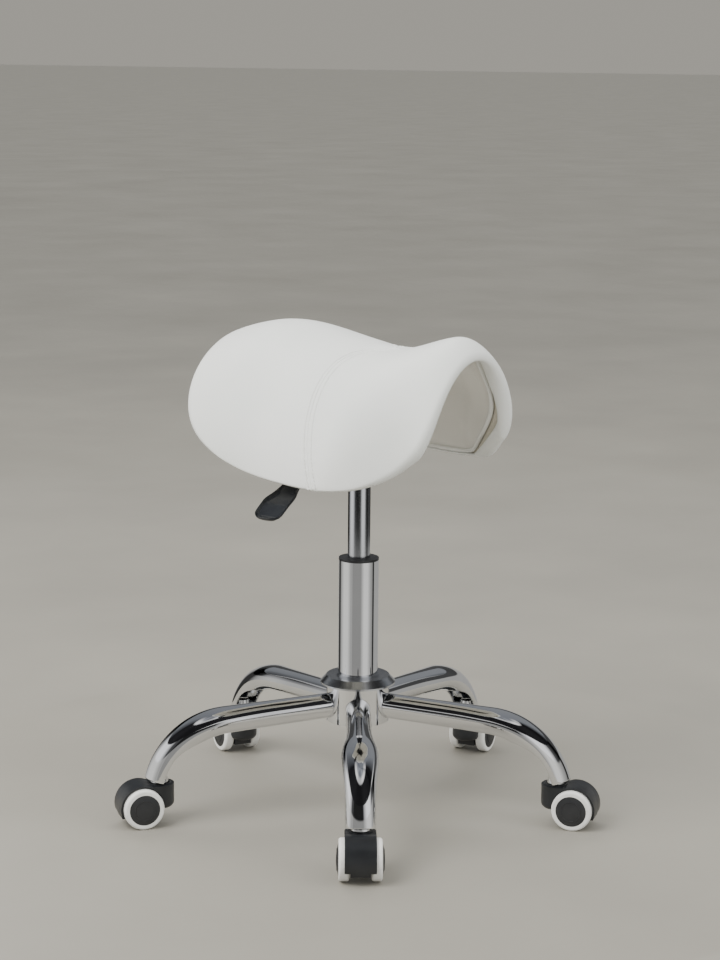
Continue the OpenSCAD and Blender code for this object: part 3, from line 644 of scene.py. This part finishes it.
def make_stitches():
    """Short threads in two rows: a six-sided section along a stitch, thin and sunk at both its ends,
    set at even steps on the seam."""
    stitches = []
    for row in (-5.0, 5.0):
        _, length = seam_lengths(10, row)
        count = int(length / 4.4)
        mid, _ = seam_lengths(count, row)
        mid = mid[1:-1]
        level = np.full(mid.shape, row)
        here = seam_base(mid, level)
        ahead = unit(seam_base(mid + 0.004, level) - seam_base(mid - 0.004, level))
        beside = unit(seam_base(mid, level + 0.2) - seam_base(mid, level - 0.2))
        out = unit(np.cross(ahead, beside))
        out *= np.sign(np.einsum("ij,ij->i", out, here - np.array([0.0, 0.0, 480.0])))[:, None]
        stitches.append((here + 0.42 * out, ahead, beside, out))
    centre, ahead, beside, out = (np.vstack(part) for part in zip(*stitches))
    along_t = np.array([-1.45, -1.0, 0.0, 1.0, 1.45])
    thick = np.array([0.14, 0.36, 0.42, 0.36, 0.14])
    sink = np.array([-0.30, -0.06, 0.06, -0.06, -0.30])
    turn = np.linspace(0.0, 2.0 * np.pi, 6, endpoint=False)
    shape = (along_t[:, None, None] * np.array([1.0, 0.0, 0.0])
             + sink[:, None, None] * np.array([0.0, 0.0, 1.0])
             + thick[:, None, None] * (np.cos(turn)[None, :, None] * np.array([0.0, 1.0, 0.0])
                                       + np.sin(turn)[None, :, None] * np.array([0.0, 0.0, 1.0])))
    local = shape.reshape(-1, 3)
    axes = np.stack([ahead, beside, out], axis=1)
    points = (centre[:, None, :] + np.einsum("vk,nkj->nvj", local, axes)).reshape(-1, 3)
    quads = grid_faces(5, 6, wrap_cols=True)
    caps = np.array([[0, 5, 4, 3], [0, 3, 2, 1], [24, 25, 26, 27], [24, 27, 28, 29]])
    one = np.vstack([quads, caps])
    if volume_of(local, one) * np.sign(np.linalg.det(axes[0])) < 0:
        one = one[:, ::-1]
    faces = (one[None] + 30 * np.arange(len(centre))[:, None, None]).reshape(-1, 4)
    solid_piece("seam_stitches", points, [faces], PIPING, "seat")


# ---------- Legs ----------

LEG_ROOT_R, LEG_ROOT_Z = 31.0, 131.184
LEG_STRAIGHT, LEG_SLOPE, LEG_BEND_R, LEG_TIP_ANGLE = 142.0, 3.0, 94.0, 75.0
LEG_ROOT_D, LEG_TIP_W, LEG_TIP_D, LEG_SWELL, LEG_WALL = 31.0, 36.4, 35.0, 5.0, 2.0
RUN_LENGTH = LEG_STRAIGHT / np.cos(np.radians(LEG_SLOPE))
BEND_LENGTH = LEG_BEND_R * np.radians(LEG_TIP_ANGLE - LEG_SLOPE)
LEG_LENGTH = RUN_LENGTH + BEND_LENGTH
WALL_POINTS = 61


def leg_surface(u, g, inset):
    """A leg's wall at an angle g round an oval section, which is carried out on a slight slope and
    then round one downward bend; the half width has a bell-shaped swell on the bend."""
    bent = np.maximum(0.0, u * LEG_LENGTH - RUN_LENGTH) / BEND_LENGTH
    head = np.radians(LEG_SLOPE + (LEG_TIP_ANGLE - LEG_SLOPE) * bent)
    slope = np.radians(LEG_SLOPE)
    level = np.minimum(LEG_STRAIGHT, u * LEG_LENGTH * np.cos(slope))
    reach = LEG_ROOT_R + level + LEG_BEND_R * (np.sin(head) - np.sin(slope))
    height = LEG_ROOT_Z - level * np.tan(slope) - LEG_BEND_R * (np.cos(slope) - np.cos(head))
    swell = LEG_SWELL * np.exp(-((u - 0.64) / 0.17) ** 2)
    half_w = (LEG_ROOT_D + (LEG_TIP_W - LEG_ROOT_D) * u) / 2.0 + swell
    half_d = (LEG_ROOT_D + (LEG_TIP_D - LEG_ROOT_D) * u) / 2.0
    side = (half_w - inset) * np.sin(g)
    rise = (half_d - inset) * np.cos(g)
    return np.stack([reach + rise * np.sin(head), side + 0.0 * u,
                     height + rise * np.cos(head)], axis=-1)


def make_leg(k):
    """One leg: outer wall, lip, inner wall and lip again make a closed section, which opens
    underneath towards the tip, where the walls draw in to a rounded edge."""
    u = np.concatenate([np.linspace(0.0, 0.36, 12), np.linspace(0.37, 0.995, 70), [0.998, 1.0, 1.0]])
    inset = np.concatenate([np.zeros(82), [0.12, 0.5, LEG_WALL / 2.0]])[:, None]
    wall = np.radians(178.6 - 80.0 * ease((u - 0.5) / 0.4))[:, None]
    u = u[:, None]
    w = np.linspace(-1.0, 1.0, WALL_POINTS)[None, :]
    outer = leg_surface(u, wall * w, inset)
    inner = leg_surface(u, wall * w[:, ::-1], LEG_WALL - inset * 0.9)
    lips = [leg_surface(u, side * wall * 1.004, LEG_WALL / 2.0 + 0.0 * inset) for side in (1.0, -1.0)]
    turn = 2.0 * np.pi / LEGS * (k - 1)
    cos, sin = np.cos(turn), np.sin(turn)
    spin = np.array([[cos, sin, 0.0], [-sin, cos, 0.0], [0.0, 0.0, 1.0]])
    loops = np.concatenate([outer, lips[0], inner, lips[1]], axis=1) @ spin
    rows, cols = loops.shape[:2]
    tip = (rows - 1) * cols
    i = np.arange(WALL_POINTS - 1)
    end = np.stack([i, i + 1, 2 * WALL_POINTS - i - 1, 2 * WALL_POINTS - i], axis=1)
    corners = np.array([[WALL_POINTS - 1, WALL_POINTS, WALL_POINTS + 1],
                        [0, 2 * WALL_POINTS, 2 * WALL_POINTS + 1]])
    groups = [grid_faces(rows, cols, wrap_cols=True),
              end[:, ::-1], end + tip, corners[:, ::-1], corners + tip]
    return solid_piece(f"leg_shell_{k}", loops.reshape(-1, 3), groups, CHROME, "base",
                       (f"leg_{k}",))


# ---------- Lever ----------

PADDLE_ROOT = np.array([-126.106, 0.0, 443.239])
PADDLE_L, PADDLE_W, PADDLE_ANGLE, PADDLE_RISE = 82.0, 38.0, np.radians(35.0), 4.5
CROOK = 3.6


def make_paddle():
    """Spoon-shaped paddle: its half width eases up from the root, then closes as a superellipse at
    the tip. The top is a rim round a dish that eases down from the edges, with a boss at the root;
    the underside is a half-oval keel with ribs that are a cosine along it. Under the seat's rim the
    whole section sinks by a hump, ease in times ease out, so it clears the rim when it is lifted."""
    u = np.concatenate([0.5 - 0.5 * np.cos(np.linspace(0.0, np.pi / 2.0, 50)),
                        0.5 + 0.5 * np.sin(np.linspace(0.0, np.pi / 2.0, 60))[1:]])
    u = (0.002 + 0.996 * u)[:, None]
    blunt = np.clip((u * PADDLE_L - (PADDLE_L - 15.0)) / 15.0, 0.0, 1.0)
    heel = np.clip(1.0 - u * PADDLE_L / 7.0, 0.0, 1.0)
    close = (1.0 - blunt ** 2.6) ** (1.0 / 2.6) * np.sqrt(1.0 - heel ** 2)
    half = (8.5 + (PADDLE_W / 2.0 - 8.5) * ease((u - 0.05) / 0.6)) * close
    w = np.linspace(-1.0, 1.0, 49)[None, :]
    spread = np.sin(w * np.pi / 2.0)
    edge = np.sqrt(np.clip(1.0 - spread ** 2, 0.0, 1.0))
    dished = ease((u - 0.22) / 0.16) * ease((1.0 - u) / 0.10)
    wall = ease((1.0 - np.abs(spread)) / 0.2)
    boss = 2.6 * (1.0 - ease((u - 0.10) / 0.2)) * close
    top = PADDLE_RISE + boss * edge - 4.6 * dished * wall - 1.0 * (1.0 - wall) ** 6
    keel = (4.4 + 5.6 * np.clip(1.15 - u, 0.0, 1.0) * ease(u / 0.15)) * close
    rib = 0.55 * np.cos(u * PADDLE_L / 4.4 * 2.0 * np.pi) * ease((u - 0.42) / 0.15)
    low = PADDLE_RISE - 2.2 - (keel * edge ** 0.9 + rib * edge) - 0.8 * close
    crook = CROOK * ease((u - 0.06) / 0.16) * ease((0.66 - u) / 0.28)
    top, low = top - crook, low - crook
    x = -u * PADDLE_L
    upper = np.stack(np.broadcast_arrays(x, half * spread, top), axis=-1)
    under = np.stack(np.broadcast_arrays(x, half * spread, low), axis=-1)
    rings = np.concatenate([upper, under[:, ::-1]], axis=1)
    cos, sin = np.cos(PADDLE_ANGLE), np.sin(PADDLE_ANGLE)
    turn = np.array([[cos, 0.0, sin], [0.0, 1.0, 0.0], [-sin, 0.0, cos]])
    capped_rings("lever_handle", rings @ turn + PADDLE_ROOT, LEVER_PLASTIC, "lever",
                 ("lever_paddle",))


# ---------- Castor details ----------

def turned_ring(profile, centre, axis, count=64):
    """A closed profile of radius and height spun about an axis through a centre."""
    axis = unit(np.asarray(axis, float))
    first = unit(np.cross(axis, [0.0, 0.0, 1.0] if abs(axis[2]) < 0.9 else [1.0, 0.0, 0.0]))
    second = np.cross(axis, first)
    t = np.linspace(0.0, 2.0 * np.pi, count, endpoint=False)[:, None, None]
    r, h = profile[:, 0][None, :, None], profile[:, 1][None, :, None]
    return centre + h * axis + r * (np.cos(t) * first + np.sin(t) * second)


STEM_R, TRAIL, AXLE_Z = 257.877, 24.0, 25.0
CASTOR_TURN = (10.0, -10.0, 0.0, 0.0, 0.0)
WHEEL_FACE = 12.8 + 12.6 + 1.75


def make_castor_details(k):
    """A raised ring on each wheel's face and a ring round the stem on the hood, each a small oval
    spun about the axle or the stem. WHEEL_FACE is from the castor's middle to a wheel's face."""
    out = np.radians(360.0 / LEGS * (k - 1))
    head = out + np.radians(CASTOR_TURN[k - 1])
    stem = np.array([STEM_R * np.cos(out), STEM_R * np.sin(out), 0.0])
    hub = stem + TRAIL * np.array([np.cos(head), np.sin(head), 0.0]) + np.array([0.0, 0.0, AXLE_Z])
    axle = np.array([-np.sin(head), np.cos(head), 0.0])
    bead = np.linspace(0.0, 2.0 * np.pi, 12, endpoint=False)
    for side, name in ((1.0, "right"), (-1.0, "left")):
        face = hub + side * axle * WHEEL_FACE
        ring = np.stack([12.2 + 0.8 * np.cos(bead), 0.1 + 0.45 * np.sin(bead)], axis=1)
        ring_loop(f"wheel_ring_{name}_{k}", turned_ring(ring, face, side * axle), WHEEL_PLASTIC,
                  f"wheel_{k}_{name}")
    lip = np.stack([13.4 + 1.5 * np.cos(bead), 51.2 + 0.9 * np.sin(bead)], axis=1)
    ring_loop(f"hood_ring_{k}", turned_ring(lip, stem, [0, 0, 1.0]), HOOD_PLASTIC,
              f"castor_{k}")


# ---------- Assembly ----------

make_cushion()
lining = make_under_seat()
make_seam()
for number in range(1, LEGS + 1):
    make_leg(number)
    make_castor_details(number)
make_paddle()

FINISH_BY_NAME = {
    "castor_hood": HOOD_PLASTIC, "wheel_": WHEEL_PLASTIC, "tyre_": TREAD,
    "base_hub": CHROME, "column_tube": CHROME, "stem_sockets": CHROME, "castor_stems": CHROME,
    "leg_": CHROME, "hub_cap": CAP_METAL, "gas_cylinder": LIFT_STEEL, "lever_rod": LIFT_STEEL,
    "lever_paddle": LEVER_PLASTIC, "guide_bush": BUSH_PLASTIC, "rod_piston": BUSH_PLASTIC,
    "seat_plate": PLATE_PAINT, "seat_bolts": ZINC, "tee_nuts": ZINC, "seat_shell": PLY,
    "lining": LINING, "foam_pad": LINING, "cover_": LEATHER, "piping": LEATHER,
}


def finish_of(name):
    """The finish whose key begins a node's name; all the other nodes are ground steel."""
    return next((f for start, f in FINISH_BY_NAME.items() if name.startswith(start)), GROUND_STEEL)


for name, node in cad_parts.items():
    finish = finish_of(name)
    if not node.material_slots:
        node.data.materials.append(finish.material)
    for slot in node.material_slots:
        slot.material = finish.material


# ---------- Stage and light ----------

def make_floor():
    """A wide plain floor, pale and slightly clouded."""
    f = Finish("pale_floor")
    f.colour(f.noise(1.6, 6.0, 0.55), (0.278, 0.263, 0.23), (0.318, 0.302, 0.264))
    f.roughness(f.noise(5.0, 4.0), 0.5, 0.62)
    f.bump(f.noise(30.0, 5.0, 0.6), 0.0006, 0.3)
    mesh = bpy.data.meshes.new("floor")
    r = FLOOR_REACH
    mesh.from_pydata([(-r, -r, 0), (r, -r, 0), (r, r, 0), (-r, r, 0)], [], [(0, 1, 2, 3)])
    floor = bpy.data.objects.new("floor", mesh)
    scene.collection.objects.link(floor)
    dress(floor, f)


def make_light(name, place, aim, size, power, colour):
    """A rectangular soft lamp turned to face a point, and unseen in mirrors."""
    data = bpy.data.lights.new(name, "AREA")
    data.shape = "RECTANGLE"
    data.size, data.size_y = size
    data.energy = power
    data.color = colour
    lamp = bpy.data.objects.new(name, data)
    scene.collection.objects.link(lamp)
    lamp.visible_glossy = False
    back = unit(np.asarray(place, float) - np.asarray(aim, float))
    side = unit(np.cross([0.0, 0.0, 1.0], back))
    pose = np.eye(4)
    pose[:3, 0], pose[:3, 1], pose[:3, 2], pose[:3, 3] = side, np.cross(back, side), back, place
    lamp.matrix_world = Matrix(pose.tolist())


def round_stops(levels):
    """Levels at azimuths in degrees, as stops of a ramp that starts at minus 180 degrees."""
    return sorted(((azimuth + 180.0) % 360.0 / 360.0, level) for azimuth, level in levels)


RING_R, RING_LOW, RING_HIGH = 0.62, 0.002, 0.38


def make_mirror_ring():
    """A low circular wall of pale and dark upright bands round the stool, seen only in reflections.
    Its upper part is brighter in the pale bands and darker in the others."""
    f = Finish("ring_bands")
    parts = f.add("ShaderNodeSeparateXYZ")
    f.join(f.place, parts.inputs[0])
    turn = f.math("ARCTAN2", parts.outputs["Y"], parts.outputs["X"])
    fac = f.math("ADD", f.math("MULTIPLY", turn, 0.5 / np.pi), 0.5)
    stops = round_stops([
        (0, 0.40), (36, 0.45), (60, 0.40), (70, 0.04), (88, 0.04), (98, 0.35), (125, 0.85), (151, 0.85),
        (170, 0.42), (200, 0.30), (228, 0.30), (247, 0.85), (267, 0.85), (284, 0.45), (300, 0.28),
        (303, 0.02), (311, 0.02), (315, 0.40), (340, 0.42)])
    bands = f.ramp(fac, [(at, (v, 0.99 * v, 0.955 * v)) for at, v in stops])
    bright = [(at, 2.2 * v ** 4) for at, v in stops]
    upper = f.ramp(fac, [(at, (v, v, 1.01 * v)) for at, v in bright])
    zone = f.ramp(parts.outputs["Z"], [(0.195, (0.0, 0.0, 0.0)), (0.215, (1.0, 1.0, 1.0))])
    glow = f.add("ShaderNodeEmission")
    f.join(f.mix("MIX", bands, upper, zone), glow.inputs["Color"])
    f.join(glow.outputs[0], f.surface)
    az = np.linspace(0.0, 2.0 * np.pi, 128, endpoint=False)
    circle = np.stack([RING_R * np.cos(az), RING_R * np.sin(az)], axis=1)
    points = [(x, y, z) for z in (RING_LOW, RING_HIGH) for x, y in circle.tolist()]
    mesh = bpy.data.meshes.new("mirror_ring")
    mesh.from_pydata(points, [], grid_faces(2, 128, wrap_cols=True).tolist())
    ring = bpy.data.objects.new("mirror_ring", mesh)
    scene.collection.objects.link(ring)
    dress(ring, f)
    ring.visible_camera = ring.visible_diffuse = ring.visible_shadow = False


def make_world():
    """Studio surroundings, different for each kind of ray. Reflections see pale walls with darker
    upright gaps, times a ceiling that is banded over the front and even over the back. Soft light
    comes evenly from everywhere, and the camera sees one plain tone."""
    world = bpy.data.worlds.new("studio")
    scene.world = world
    world.use_nodes = True
    w = Nodes(world.node_tree)
    parts = w.add("ShaderNodeSeparateXYZ")
    w.join(w.add("ShaderNodeTexCoord").outputs["Generated"], parts.inputs[0])
    height = parts.outputs["Z"]
    around = w.add("ShaderNodeMapRange")
    around.inputs["From Min"].default_value = -np.pi
    around.inputs["From Max"].default_value = np.pi
    w.join(w.math("ARCTAN2", parts.outputs["Y"], parts.outputs["X"]), around.inputs["Value"])
    azimuth = around.outputs["Result"]
    stops = round_stops([
        (0, 0.45), (30, 0.50), (70, 0.30), (92, 0.30), (125, 0.9), (150, 1.15), (178, 0.55),
        (205, 0.40), (226, 0.40), (246, 1.0), (264, 1.15), (286, 0.8), (299, 0.60), (303, 0.05),
        (309, 0.05), (314, 0.62), (335, 0.45)])
    walls = w.ramp(azimuth, [(at, (v, 0.98 * v, 0.95 * v)) for at, v in stops])
    dark, lit = (0.02, 0.02, 0.022), (1.1, 1.1, 1.1)
    near = w.ramp(height, [(0.0, (0.30, 0.30, 0.29)), (0.02, dark), (0.36, dark), (0.40, lit),
                           (0.46, lit), (0.49, dark), (0.91, dark), (0.93, lit),
                           (0.96, lit), (0.98, (0.36, 0.38, 0.42))])
    far = w.ramp(height, [(0.0, (0.50, 0.50, 0.50)), (0.03, (0.34, 0.35, 0.37)),
                          (0.55, (0.40, 0.42, 0.45)), (1.0, (0.36, 0.38, 0.42))])
    share = [(0, 1), (60, 1), (140, 1), (165, 0), (255, 0), (290, 1)]
    front = w.ramp(azimuth, [(at / 360.0, (v, v, v)) for at, v in share])
    walls = w.mix("MIX", walls, (0.75, 0.75, 0.76, 1.0), 0.45)
    mirrored = w.mix("MULTIPLY", walls, w.mix("MIX", far, near, front), 1.0)
    soft = w.ramp(height, [(0.0, (1.17, 1.16, 1.11)), (1.0, (1.25, 1.255, 1.22))])
    rays = w.add("ShaderNodeLightPath").outputs
    seen = w.mix("MIX", soft, mirrored, rays["Is Glossy Ray"])
    seen = w.mix("MIX", seen, (0.378, 0.363, 0.326, 1.0), rays["Is Camera Ray"])
    shade = w.add("ShaderNodeBackground")
    w.join(seen, shade.inputs["Color"])
    w.join(shade.outputs[0], w.add("ShaderNodeOutputWorld").inputs["Surface"])


make_floor()
make_world()
make_mirror_ring()
MIDDLE = np.array([0.0, 0.0, 0.35])
LAMPS = (("key", (-1.4, -1.9, 2.3), (2.0, 2.0), 114.0, (1.0, 0.985, 0.96)),
         ("fill", (-0.9, 2.3, 1.2), (1.2, 2.2), 20.0, (0.97, 0.985, 1.0)),
         ("back", (2.0, -0.6, 2.4), (2.4, 1.2), 26.0, (1.0, 0.98, 0.95)))
for name, (ahead, aside, up), size, power, colour in LAMPS:
    make_light(name, MIDDLE + ahead * LEVEL + aside * SIDE + [0, 0, up], MIDDLE, size, power, colour)
